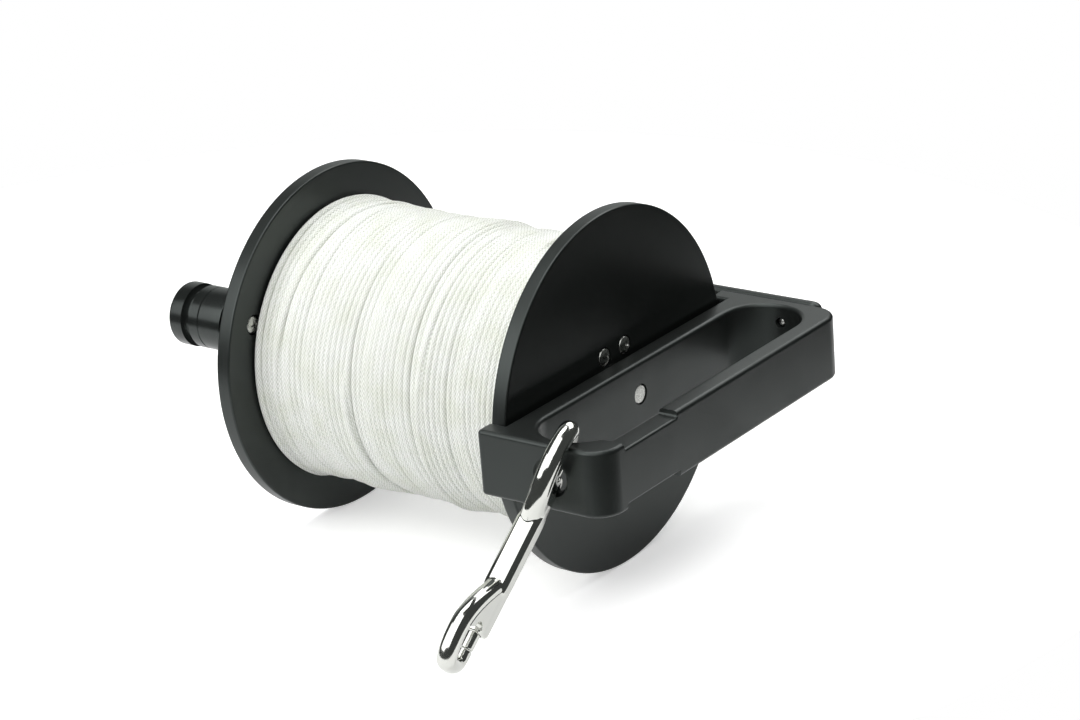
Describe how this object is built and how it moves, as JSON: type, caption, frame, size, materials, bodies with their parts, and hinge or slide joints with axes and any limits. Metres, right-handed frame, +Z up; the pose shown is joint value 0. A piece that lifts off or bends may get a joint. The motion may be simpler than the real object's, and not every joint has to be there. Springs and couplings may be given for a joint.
{
  "type": "dive reel",
  "caption": "Open guide-line dive reel: wide spool of white braided line, black frame with a finger slot, guide arm, winding knob and a double-ended stainless snap.",
  "frame": {"origin": "middle of the frame's flat grip face, on the spool's axis", "axes": "+X along the spool's axis, out of the grip face and away from the spool; +Y towards the guide arm, away from the snap; +Z up when the frame is held level"},
  "size_m": [0.1998, 0.216, 0.1296],
  "materials": {
    "black_acetal": "satin",
    "polished_stainless": "polished",
    "machined_stainless": "machined",
    "white_acetal": "satin",
    "white_braid": "matte"
  },
  "bodies": {
    "frame_body": {"frame": "black_acetal", "guide_arm": "black_acetal", "guide_screw_upper": "machined_stainless", "guide_screw_lower": "machined_stainless", "axle": "machined_stainless", "axle_spacer": "white_acetal", "axle_end_washer": "machined_stainless", "axle_cap_screw": "machined_stainless"},
    "spool_body": {"spool_tube": "black_acetal", "frame_side_bush": "white_acetal", "knob_side_bush": "white_acetal", "frame_side_flange": "black_acetal", "knob_side_flange": "black_acetal", "frame_flange_screw_1": "machined_stainless", "frame_flange_screw_2": "machined_stainless", "frame_flange_screw_3": "machined_stainless", "frame_flange_screw_4": "machined_stainless", "frame_flange_screw_5": "machined_stainless", "frame_flange_screw_6": "machined_stainless", "frame_flange_screw_7": "machined_stainless", "frame_flange_screw_8": "machined_stainless", "knob_flange_screw_1": "machined_stainless", "knob_flange_screw_2": "machined_stainless", "knob_flange_screw_3": "machined_stainless", "knob_flange_screw_4": "machined_stainless", "knob_flange_screw_5": "machined_stainless", "knob_flange_screw_6": "machined_stainless", "knob_flange_screw_7": "machined_stainless", "knob_flange_screw_8": "machined_stainless", "line_core": "white_braid", "line_winding": "white_braid", "knob_washer": "machined_stainless", "knob_spindle": "machined_stainless", "knob_screw": "machined_stainless"},
    "knob_body": {"winding_knob": "black_acetal"},
    "snap": {"snap_body": "polished_stainless", "upper_gate_spring": "machined_stainless", "lower_gate_spring": "machined_stainless"},
    "upper_gate_body": {"upper_gate": "polished_stainless"},
    "lower_gate_body": {"lower_gate": "polished_stainless"}
  },
  "joints": [
    {"name": "spool_spin", "type": "hinge", "parent": "frame_body", "child": "spool_body", "pos_m": [-0.1107, 0, 0], "axis": [1, 0, 0], "continuous": true},
    {"name": "knob_spin", "type": "hinge", "parent": "spool_body", "child": "knob_body", "pos_m": [-0.1869, -0.04882, 0.02113], "axis": [1, 0, 0], "continuous": true},
    {"name": "snap_swing", "type": "hinge", "parent": "frame_body", "child": "snap", "pos_m": [-0.02047, -0.07095, 0.00877], "axis": [-0.9698, -0.1157, 0.2146], "range_deg": [0, 95]},
    {"name": "upper_gate_slide", "type": "slide", "parent": "snap", "child": "upper_gate_body", "axis": [-0.0593, -0.7418, -0.668], "range_m": [0, 0.006], "stiffness_N_per_m": 300, "springref_m": -0.004, "deforming": ["upper_gate_spring"]},
    {"name": "lower_gate_slide", "type": "slide", "parent": "snap", "child": "lower_gate_body", "axis": [0.0593, 0.7418, 0.668], "range_m": [0, 0.006], "stiffness_N_per_m": 300, "springref_m": -0.004, "deforming": ["lower_gate_spring"]}
  ]
}
